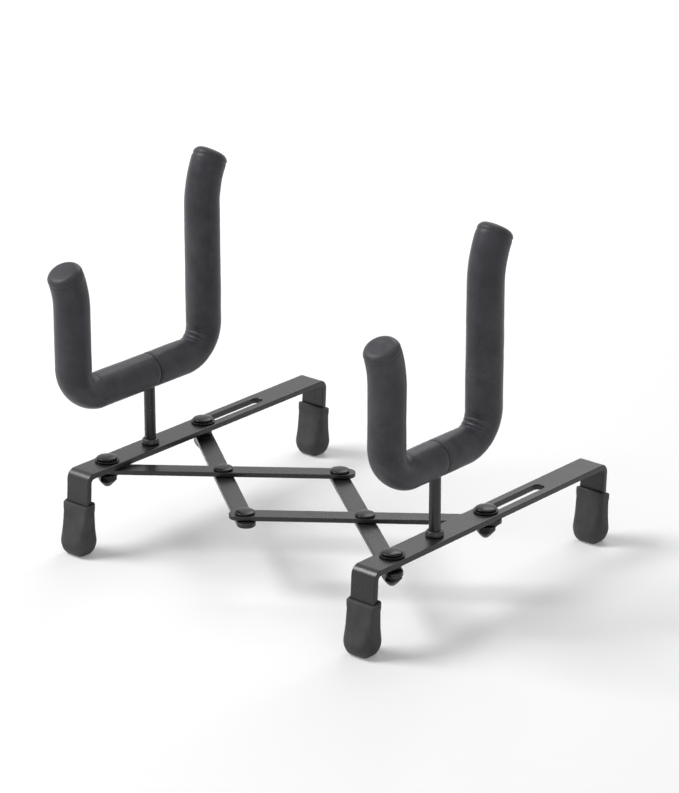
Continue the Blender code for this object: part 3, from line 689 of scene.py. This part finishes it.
def foot_levels():
    """Heights up the foot with the inset of the skin there, which leaves a soft bead under a rolled lip."""
    levels = [(FOOT_ROUND_HEIGHT * (1 - math.cos(turn)), 0.0) for turn in [0.0] + quarter_circle(TOE_STEPS)]
    neck = FOOT_HEIGHT - FOOT_LIP - FOOT_ROUND_HEIGHT
    for i in range(1, NECK_STEPS + 1):
        height = FOOT_ROUND_HEIGHT + neck * i / NECK_STEPS
        below = FOOT_HEIGHT - FOOT_BEAD_PLACE - height
        step = FOOT_BEAD / (1 + math.exp(-below / FOOT_BEAD_SOFTNESS))
        run_in = min(1.0, max(0.0, (height - FOOT_ROUND_HEIGHT) / FOOT_BEAD_RUN_IN))
        levels.append((height, step * run_in))
    for turn in quarter_circle(EDGE_STEPS + 1):
        levels.append((FOOT_HEIGHT - FOOT_LIP * (1 - math.sin(turn)), FOOT_LIP * (1 - math.cos(turn))))
    return levels


def foot_mesh(x, splay, outward):
    """Rubber cap that leans with its leg, with its rim higher on the inner side."""
    origin = Vector((x, RAIL_MIDDLE, 0))
    bm = bmesh.new()
    rings = []
    for height, inset in foot_levels():
        section = foot_section(height, inset)
        depth = max(y for _, y in section)
        share = max(0.0, height - FOOT_HEIGHT / 2) / (FOOT_HEIGHT / 2)
        ring = []
        for across, y in section:
            raised = height + FOOT_BACK_RISE * share * (depth - y) / (2 * depth)
            place = (across, outward * (leg_offset(splay, raised) + y), raised)
            ring.append(bm.verts.new(origin + Vector(place)))
        rings.append(ring)
    return closed_mesh("foot", bm, rings)


def pocket_cutter(x, splay, outward):
    """Shape of the pocket that takes the end of a leg."""
    end_distance, end_height, heading = leg_line(splay).stations[-1][:3]
    floor = (end_distance + FACE_GAP * math.sin(splay), end_height - FACE_GAP, heading)
    mouth_height = RAIL_TOP - RAIL_THICKNESS / 2 - RAIL_INNER_BEND - FACE_GAP
    mouth = (leg_offset(splay, mouth_height), mouth_height, heading)
    section = strip_section(RAIL_WIDTH + 2 * FACE_GAP, RAIL_THICKNESS + 2 * FACE_GAP, PAINT_EDGE)
    origin = Vector((x, RAIL_MIDDLE, 0))
    bm = bmesh.new()
    rings = [section_ring(bm, origin, station, section, outward) for station in (floor, mouth)]
    return closed_mesh("pocket", bm, rings)


def build_feet(rubber):
    for side in SIDES:
        x = POST[side].x
        for end, splay, outward in (("front", FRONT_SPLAY, -1), ("rear", REAR_SPLAY, 1)):
            node = f"{side}_{end}_foot"
            pocket = pocket_cutter(x, splay, outward)
            mesh = foot_mesh(x, splay, outward)
            place_piece(node + "_cap", mesh, node, rubber, [pocket], weighted=False)


# Posts

def post_mesh(middle, shoulder):
    """Round bar from the rail to the rod, with a thinner spigot through the rail."""
    head = CRADLE_HEIGHT - ROD_RADIUS - FACE_GAP
    corners = [
        (0, RAIL_UNDERSIDE), (SPIGOT_RADIUS, RAIL_UNDERSIDE), (SPIGOT_RADIUS, shoulder),
        (POST_RADIUS, shoulder), (POST_RADIUS, head), (0, head),
    ]
    profile = rounded(corners, (0, RIM_EDGE, 0, RIM_EDGE, RIM_EDGE, 0))
    return turned_mesh("post", profile, middle)


def weld_mesh(middle, shoulder):
    """Weld bead round the foot of a post."""
    inner = POST_RADIUS + FACE_GAP
    foot = inner + COLLAR_FOOT_BAND
    top = inner + COLLAR_TOP_BAND
    corners = [
        (inner, shoulder), (foot, shoulder), (foot, shoulder + COLLAR_HEIGHT / 3),
        (top, shoulder + COLLAR_HEIGHT), (inner, shoulder + COLLAR_HEIGHT),
    ]
    radii = (0, WELD_FOOT_ROUNDING, WELD_TOP_ROUNDING, WELD_TOP_ROUNDING, 0)
    profile = rounded(corners, radii, SOFT_EDGE_STEPS)
    bead = turned_mesh("bead", profile, middle, ROUND_SIDES * 2)
    for vertex in bead.vertices:
        ripple_bead(vertex, middle, inner)
    return bead


def ripple_bead(vertex, middle, inner):
    """Presses shallow scales, slanted up its height, into the outside of a weld bead."""
    offset = vertex.co - middle
    offset.z = 0
    depth = min(1.0, max(0.0, (offset.length - inner) / COLLAR_TOP_BAND))
    turn = math.atan2(offset.y, offset.x)
    scale = math.fabs(math.sin(WELD_RIPPLES * turn / 2 + WELD_RIPPLE_SLANT * vertex.co.z))
    vertex.co -= offset.normalized() * WELD_RIPPLE * 2 * (1 - scale) * depth


def build_posts(paint):
    shoulder = RAIL_TOP + FACE_GAP
    for side in SIDES:
        mesh = post_mesh(POST[side], shoulder)
        place_piece(side + "_post_bar", mesh, side + "_post", paint)
        bead = weld_mesh(POST[side], shoulder)
        place_piece(side + "_post_weld", bead, side + "_post_collar", paint)


def dress_rods(paint):
    """Gives the rods inside the foam the paint of the posts."""
    for side in SIDES:
        materials = frame["nodes"][side + "_cradle_rod"].data.materials
        materials.clear()
        materials.append(paint)


# Foam sleeves

def arm_stations(reach, rise, flare, cover, start):
    """Route of a sleeve from the post outwards, round the bend, up the arm and along its flared tip."""
    route = Route(start, 0.0, 0.0)
    route.run(reach - BEND_RADIUS - start, FOAM_STEP)
    bend_steps = math.ceil(BEND_RADIUS * math.pi / 2 / FOAM_FINE_STEP)
    route.turn(BEND_RADIUS, math.pi / 2, bend_steps, squeeze=1.0)
    route.run(rise - BEND_RADIUS - FLARE_RADIUS * math.sin(flare), FOAM_STEP)
    flare_turn = flare - cover / FLARE_RADIUS
    route.turn(FLARE_RADIUS, -flare_turn, math.ceil(FLARE_RADIUS * flare_turn / FOAM_FINE_STEP))
    return route


def travels(stations):
    """Length of the path up to each station."""
    lengths = [0.0]
    for before, after in zip(stations, stations[1:]):
        lengths.append(lengths[-1] + math.dist(before[:2], after[:2]))
    return lengths


def crease(offset, width):
    """Shape of a pressed crease across its line, from 0 far away to 1 in it."""
    return math.exp(-abs(offset / width) ** CREASE_SHAPE_POWER)


def foam_dent(travel, turn, bend_middle, length):
    """How far the skin lies inside the plain tube: folds inside the bend and a ring under the tip."""
    inner = max(0.0, math.sin(turn))
    dent = 0.0
    for k, (place, depth) in enumerate(BEND_CREASES):
        waver = BEND_CREASE_WAVER * math.sin(2 * turn + BEND_CREASE_SHIFT * k)
        offset = travel - bend_middle - place - waver
        dent += depth * inner ** BEND_CREASE_FADE * crease(offset, BEND_CREASE_WIDTH)
    ring = length - TIP_CREASE_PLACE + TIP_CREASE_WAVER * math.sin(turn + TIP_CREASE_SHIFT)
    return dent + TIP_CREASE_DEPTH * crease(travel - ring, TIP_CREASE_WIDTH)


def foam_point(origin, station, outward, radius, turn, dent):
    """Point of the foam's skin, with a slow unevenness that follows its place."""
    squeeze = 1 - FOAM_PINCH * station[3] / FOAM_RADIUS
    across = math.cos(turn)
    normal = math.sin(turn)
    smooth = origin + at_station(station, radius * across, radius * normal * squeeze, outward)
    lump = noise.noise(smooth * LUMPS_IN_METRE)
    lump += FINE_LUMP_SHARE * noise.noise(smooth * FINE_LUMPS_IN_METRE)
    reach = radius + FOAM_LUMP * lump - dent - FOAM_LUMP
    return origin + at_station(station, reach * across, reach * normal * squeeze, outward)


def close_tip(route):
    """Adds the stations that round an arm's tip off and crown it, and gives the skin's inset at each."""
    insets = []
    done = 0.0
    for turn in quarter_circle(TIP_STEPS):
        route.turn(FLARE_RADIUS, -TIP_ROUNDING / FLARE_RADIUS * (math.sin(turn) - done), 1)
        done = math.sin(turn)
        insets.append(TIP_ROUNDING * (1 - math.cos(turn)))
    flat = FOAM_RADIUS - TIP_ROUNDING
    for i in range(1, CROWN_STEPS):
        route.run(TIP_CROWN / CROWN_STEPS)
        insets.append(TIP_ROUNDING + flat * i / CROWN_STEPS)
    return insets


def sleeve_skin(bm, origin, reach, rise, flare, outward):
    """Rings of the outside of a sleeve, from the seam over the post to the middle of the tip."""
    start = SEAM_GAP / 2
    route = arm_stations(reach, rise, flare, TIP_ROUNDING, start)
    bend_middle = reach - BEND_RADIUS - start + BEND_RADIUS * math.pi / 4
    insets = [0.0] * len(route.stations)
    insets += close_tip(route)
    lengths = travels(route.stations)
    rings = []
    for station, travel, inset in zip(route.stations, lengths, insets):
        butt = max(0.0, FOAM_BUTT_EDGE - travel) / FOAM_BUTT_EDGE
        radius = FOAM_RADIUS - inset - FOAM_BUTT_EDGE * (1 - math.sqrt(1 - butt ** 2))
        ring = []
        for turn in full_circle(FOAM_SIDES):
            dent = foam_dent(travel, turn, bend_middle, lengths[-1]) if inset == 0 else 0.0
            ring.append(bm.verts.new(foam_point(origin, station, outward, radius, turn, dent)))
        rings.append(ring)
    return rings


def sleeve_lining(bm, origin, reach, rise, flare, outward):
    """Rings of the bore that takes the rod."""
    turns = full_circle(FOAM_SIDES)
    section = [(BORE_RADIUS * math.cos(turn), BORE_RADIUS * math.sin(turn)) for turn in turns]
    stations = arm_stations(reach, rise, flare, TIP_COVER - FACE_GAP, SEAM_GAP / 2).stations
    stations = stations[::LINING_STRIDE] + [stations[-1]]
    return [section_ring(bm, origin, station, section, outward) for station in stations]


def sleeve_mesh(origin, *shape):
    """Foam between its bore and its skin, which meet in a flat ring at the seam."""
    bm = bmesh.new()
    skin = sleeve_skin(bm, origin, *shape)
    lining = sleeve_lining(bm, origin, *shape)
    return closed_mesh("sleeve", bm, lining[::-1] + skin)


def build_sleeves(foam):
    notch_radius = POST_RADIUS + FACE_GAP
    foot = CRADLE_HEIGHT - FOAM_RADIUS - FACE_GAP
    profile = [(0, foot), (notch_radius, foot), (notch_radius, CRADLE_HEIGHT), (0, CRADLE_HEIGHT)]
    for side, end, reach, rise, flare, outward in (
        ("left", "front", LEFT_FRONT_REACH, FRONT_RISE, FRONT_FLARE, -1),
        ("left", "back", LEFT_BACK_REACH, BACK_RISE, BACK_FLARE, 1),
        ("right", "front", RIGHT_FRONT_REACH, FRONT_RISE, FRONT_FLARE, -1),
        ("right", "back", RIGHT_BACK_REACH, BACK_RISE, BACK_FLARE, 1),
    ):
        node = f"{side}_{end}_sleeve"
        notch = turned_mesh("notch", profile, POST[side])
        origin = Vector((POST[side].x, POST[side].y, CRADLE_HEIGHT))
        mesh = sleeve_mesh(origin, reach, rise, flare, outward)
        sleeve = place_piece(node + "_foam", mesh, node, foam, [notch], weighted=False)


# Links

def link_layers():
    """Heights from the top of a link down, with the inset of its rounded edges."""
    upper = []
    for turn in [0.0] + quarter_circle(EDGE_STEPS):
        upper.append((-LINK_EDGE * (1 - math.sin(turn)), LINK_EDGE * (1 - math.cos(turn))))
    return upper[::-1] + [(-LINK_THICKNESS - height, inset) for height, inset in upper]


def link_mesh(start, angle, top):
    """Flat bar with round ends and rounded edges, from its first pivot along a heading."""
    end_centre = LINK_OVERHANG - LINK_HALF_WIDTH
    spin = Matrix.Rotation(angle, 3, "Z")
    bm = bmesh.new()
    rings = []
    for height, inset in link_layers():
        radius = LINK_HALF_WIDTH - inset
        ring = []
        for centre, first in ((LINK_LENGTH + end_centre, -math.pi / 2), (-end_centre, math.pi / 2)):
            for turn in half_circle(first):
                point = spin @ Vector((centre + radius * math.cos(turn), radius * math.sin(turn), height))
                ring.append(bm.verts.new(point + Vector((start.x, start.y, top))))
        rings.append(ring)
    return closed_mesh("link", bm, rings)


def build_links(paint):
    bolt_hole = BOLT_RADIUS + RUNNING_CLEARANCE
    rivet_hole = RIVET_RADIUS + RUNNING_CLEARANCE
    loose_hole = RIVET_RADIUS + OPEN_PIVOT_CLEARANCE
    front_middle = middle_of("front_middle_rivet")
    back_middle = middle_of("back_middle_rivet")
    for name, start, angle, top, first, last in (
        ("link_a", FRONT_PIVOT["left"], OPEN_ANGLE, UPPER_LINK_TOP, bolt_hole, rivet_hole),
        ("link_b", SLIDING_PIVOT["left"], -OPEN_ANGLE, LOWER_LINK_TOP, bolt_hole, rivet_hole),
        ("link_c", front_middle, OPEN_ANGLE, UPPER_LINK_TOP, rivet_hole, bolt_hole),
        ("link_d", back_middle, -OPEN_ANGLE, LOWER_LINK_TOP, loose_hole, bolt_hole),
    ):
        cutters = []
        for distance, radius in ((0.0, first), (LINK_LENGTH / 2, rivet_hole), (LINK_LENGTH, last)):
            along = Vector((math.cos(angle), math.sin(angle), 0)) * distance
            cutters.append(hole_cutter(radius, start + along, top, top - LINK_THICKNESS))
        place_piece(name + "_plate", link_mesh(start, angle, top), name, paint, cutters)


# Fasteners

def domed_head(shank, head, seat, height, steps, power=1.0):
    """Profile of a low dome on a short upright rim, from its top to the shank under it."""
    profile = [(0, seat + height)]
    for turn in quarter_circle(steps):
        rise = HEAD_RIM_SHARE + (1 - HEAD_RIM_SHARE) * math.cos(turn) ** power
        profile.append((head * math.sin(turn), seat + height * rise))
    return profile + [(head, seat + RIM_EDGE), (head - RIM_EDGE, seat), (shank, seat)]


def bolt_mesh(middle, foot):
    """Bolt whose head lies on the rail's washer, with a plain shank down to its foot."""
    seat = RAIL_TOP + 2 * FACE_GAP + WASHER_THICKNESS
    profile = domed_head(BOLT_RADIUS, BOLT_RADIUS + HEAD_BAND, seat, HEAD_HEIGHT, BOLT_DOME_STEPS)
    return turned_mesh("bolt", profile + [(BOLT_RADIUS, foot), (0, foot)], middle)


def washer_mesh(name, middle, outer, foot, thickness):
    inner = BOLT_RADIUS + FACE_GAP
    corners = [(inner, foot), (outer, foot), (outer, foot + thickness), (inner, foot + thickness)]
    return turned_mesh(name, rounded(corners, (0, RIM_EDGE, RIM_EDGE, 0)), middle)


def nut_levels():
    """Height from the top, sharpness and radius of each ring down the outside of a nut."""
    wide = BOLT_RADIUS + NUT_WALL + FACE_GAP
    levels = [(0.0, NUT_RIM_SHARPNESS, wide - RIM_EDGE), (-RIM_EDGE, NUT_EDGE_SHARPNESS, wide)]
    levels += [(-NUT_HEX_HEIGHT * share, NUT_HEX_SHARPNESS, wide) for share in (0.3, 0.7, 1.0)]
    for i in range(1, NUT_TIP_STEPS + 1):
        drop = i / NUT_TIP_STEPS
        height = -NUT_HEX_HEIGHT - (NUT_HEIGHT - NUT_HEX_HEIGHT) * drop
        sharpness = max(0.0, NUT_TIP_SHARPNESS - NUT_TIP_SHARPNESS_LOSS * drop)
        levels.append((height, sharpness, wide + (NUT_TIP_RADIUS - wide) * drop ** NUT_TIP_POWER))
    return levels


def nut_ring(bm, middle, top, height, sharpness, radius):
    """Ring between a circle and the hexagon round it."""
    ring = []
    for turn in full_circle(NUT_SIDES):
        to_flat = (turn + math.pi / 6) % (math.pi / 3) - math.pi / 6
        reach = radius * (1 + sharpness * (1 / math.cos(to_flat) - 1))
        x = middle.x + reach * math.cos(turn)
        y = middle.y + reach * math.sin(turn)
        ring.append(bm.verts.new((x, y, top + height)))
    return ring


def nut_mesh(middle, top):
    """Closed nut below a height: a hexagon with softened corners that narrows to a blunt tip."""
    bm = bmesh.new()
    rings = [nut_ring(bm, middle, top, *level) for level in nut_levels()]
    bore = BOLT_RADIUS + FACE_GAP
    lining = [nut_ring(bm, middle, top, height, 0.0, bore) for height in (NUT_CAP_WALL - NUT_HEIGHT, 0.0)]
    return closed_mesh("nut", bm, lining + rings)


def build_rail_pivots(steel):
    for name, middle, link_foot, has_spacer in (
        ("left_front_pivot", FRONT_PIVOT["left"], UPPER_LINK_FOOT, False),
        ("left_sliding_pivot", SLIDING_PIVOT["left"], LOWER_LINK_FOOT, True),
        ("right_sliding_pivot", SLIDING_PIVOT["right"], UPPER_LINK_FOOT, False),
        ("right_front_pivot", FRONT_PIVOT["right"], LOWER_LINK_FOOT, True),
    ):
        washer = washer_mesh("washer", middle, WASHER_RADIUS, RAIL_TOP + FACE_GAP, WASHER_THICKNESS)
        pieces = [("head_washer", washer)]
        nut_top = link_foot - FACE_GAP
        if has_spacer:
            spacer = washer_mesh("spacer", middle, LINK_HALF_WIDTH, UPPER_LINK_FOOT, LINK_THICKNESS)
            pieces.append(("spacer", spacer))
        else:
            nut_top -= WASHER_THICKNESS
            washer = washer_mesh("washer", middle, WASHER_RADIUS, nut_top, WASHER_THICKNESS)
            pieces.append(("foot_washer", washer))
            nut_top -= FACE_GAP
        shank_foot = nut_top - NUT_HEIGHT + NUT_CAP_WALL + FACE_GAP
        pieces.append(("nut", nut_mesh(middle, nut_top)))
        pieces.append(("bolt", bolt_mesh(middle, shank_foot)))
        for part, mesh in pieces:
            place_piece(f"{name}_{part}_finished", mesh, f"{name}_{part}", steel)


def build_rivets(steel):
    seat = UPPER_LINK_TOP + FACE_GAP
    foot = LOWER_LINK_FOOT - FACE_GAP
    dome = RIVET_RADIUS + RIVET_TOP_BAND
    flat = RIVET_RADIUS + RIVET_FOOT_BAND
    end = foot - RIVET_FOOT_HEIGHT
    profile = domed_head(RIVET_RADIUS, dome, seat, RIVET_TOP_HEIGHT, RIVET_DOME_STEPS, RIVET_DOME_POWER)
    profile.append((RIVET_RADIUS, foot))
    profile += rounded([(flat, foot), (flat, end), (0, end)], (0, RIVET_FOOT_ROUNDING, 0), SOFT_EDGE_STEPS)
    for node in ("left_crossing_rivet", "right_crossing_rivet", "front_middle_rivet", "back_middle_rivet"):
        mesh = turned_mesh("rivet", profile, middle_of(node))
        place_piece(node + "_finished", mesh, node, steel)


# Studio: each lamp as (name, place, size, power), and the floor's own glow from near the stand to far off

FLOOR_REACH = 6.0
FLOOR_COLOUR = (0.86, 0.86, 0.86)
FLOOR_ROUGHNESS = 0.9
GLOW_START = 0.3
GLOW_END = 1.6
NEAR_GLOW = 0.16
FAR_GLOW = 0.70
WHITE = (1.0, 1.0, 1.0, 1.0)
AMBIENT = 0.26
LAMP_TARGET = Vector((0, 0, 0.06))
LAMPS = (
    ("key lamp", (-0.95, -0.72, 1.35), 0.8, 23.5),
    ("fill lamp", (1.35, -0.70, 0.80), 1.1, 2.2),
    ("back lamp", (-0.35, 1.10, 1.25), 1.0, 8.5),
)
CAMERA_AZIMUTH = math.radians(40.4)
CAMERA_ELEVATION = math.radians(20.7)
CAMERA_DISTANCE = 1.45
CAMERA_TARGET = Vector((0.004, 0.0, 0.069))
FOCAL_PIXELS = 3520.0
PICTURE_HEIGHT = 793
SENSOR = 36.0


def seen_directly(tree):
    """1 for rays from the camera and for mirrored and transmitted rays, otherwise 0."""
    path = tree.nodes.new("ShaderNodeLightPath")
    seen = calculate(tree, "MAXIMUM", path.outputs["Is Camera Ray"], path.outputs["Is Glossy Ray"])
    return calculate(tree, "MAXIMUM", seen, path.outputs["Is Transmission Ray"])


def build_floor():
    """Pale floor that shows as white, takes the stand's soft shadow and glows a little more far off."""
    bm = bmesh.new()
    corners = [(-1, -1), (1, -1), (1, 1), (-1, 1)]
    bm.faces.new([bm.verts.new((FLOOR_REACH * x, FLOOR_REACH * y, 0)) for x, y in corners])
    floor = bpy.data.objects.new("floor", finish_mesh("floor", bm))
    bpy.context.scene.collection.objects.link(floor)
    material, tree, shader, place = new_material("pale floor")
    shader.inputs["Base Color"].default_value = (*FLOOR_COLOUR, 1.0)
    shader.inputs["Roughness"].default_value = FLOOR_ROUGHNESS
    shader.inputs["Specular IOR Level"].default_value = 0.0
    distance = add_node(tree, "ShaderNodeVectorMath", {"Vector": place}, operation="LENGTH").outputs["Value"]
    glow = spread(tree, distance, GLOW_START, GLOW_END, NEAR_GLOW, FAR_GLOW)
    tree.links.new(calculate(tree, "MULTIPLY", seen_directly(tree), glow), shader.inputs["Emission Strength"])
    shader.inputs["Emission Color"].default_value = WHITE
    floor.data.materials.append(material)


def build_world():
    """Surroundings that are white where they are seen or mirrored, and else give only the ambient light."""
    world = bpy.data.worlds.new("studio")
    world.use_nodes = True
    tree = world.node_tree
    light = tree.nodes["Background"]
    light.inputs["Color"].default_value = WHITE
    strength = calculate(tree, "ADD", calculate(tree, "MULTIPLY", seen_directly(tree), 1 - AMBIENT), AMBIENT)
    tree.links.new(strength, light.inputs["Strength"])
    bpy.context.scene.world = world


def add_lamp(name, place, size, power):
    """Square soft lamp that looks at the middle of the stand."""
    data = bpy.data.lights.new(name, "AREA")
    data.shape = "SQUARE"
    data.size = size
    data.energy = power
    lamp = bpy.data.objects.new(name, data)
    lamp.location = place
    lamp.rotation_euler = (LAMP_TARGET - Vector(place)).to_track_quat("-Z", "Y").to_euler()
    bpy.context.scene.collection.objects.link(lamp)


def build_camera():
    """Camera that sees the stand as the photograph's first view does."""
    data = bpy.data.cameras.new("camera")
    data.sensor_width = SENSOR
    data.lens = FOCAL_PIXELS * SENSOR / PICTURE_HEIGHT
    camera = bpy.data.objects.new("camera", data)
    level = math.cos(CAMERA_ELEVATION)
    x = math.sin(CAMERA_AZIMUTH) * level
    y = -math.cos(CAMERA_AZIMUTH) * level
    back = Vector((x, y, math.sin(CAMERA_ELEVATION)))
    camera.location = CAMERA_TARGET + back * CAMERA_DISTANCE
    camera.rotation_euler = (-back).to_track_quat("-Z", "Y").to_euler()
    bpy.context.scene.collection.objects.link(camera)
    bpy.context.scene.camera = camera


def build_scene():
    build_camera()
    paint = painted_steel()
    steel = black_fastener()
    build_rails(paint)
    build_links(paint)
    build_posts(paint)
    dress_rods(paint)
    build_rail_pivots(steel)
    build_rivets(steel)
    build_feet(moulded_rubber())
    build_sleeves(soft_foam())
    build_floor()
    build_world()
    for lamp in LAMPS:
        add_lamp(*lamp)
    bpy.context.scene.view_settings.view_transform = "Standard"


build_scene()
bpy.context.view_layer.update()
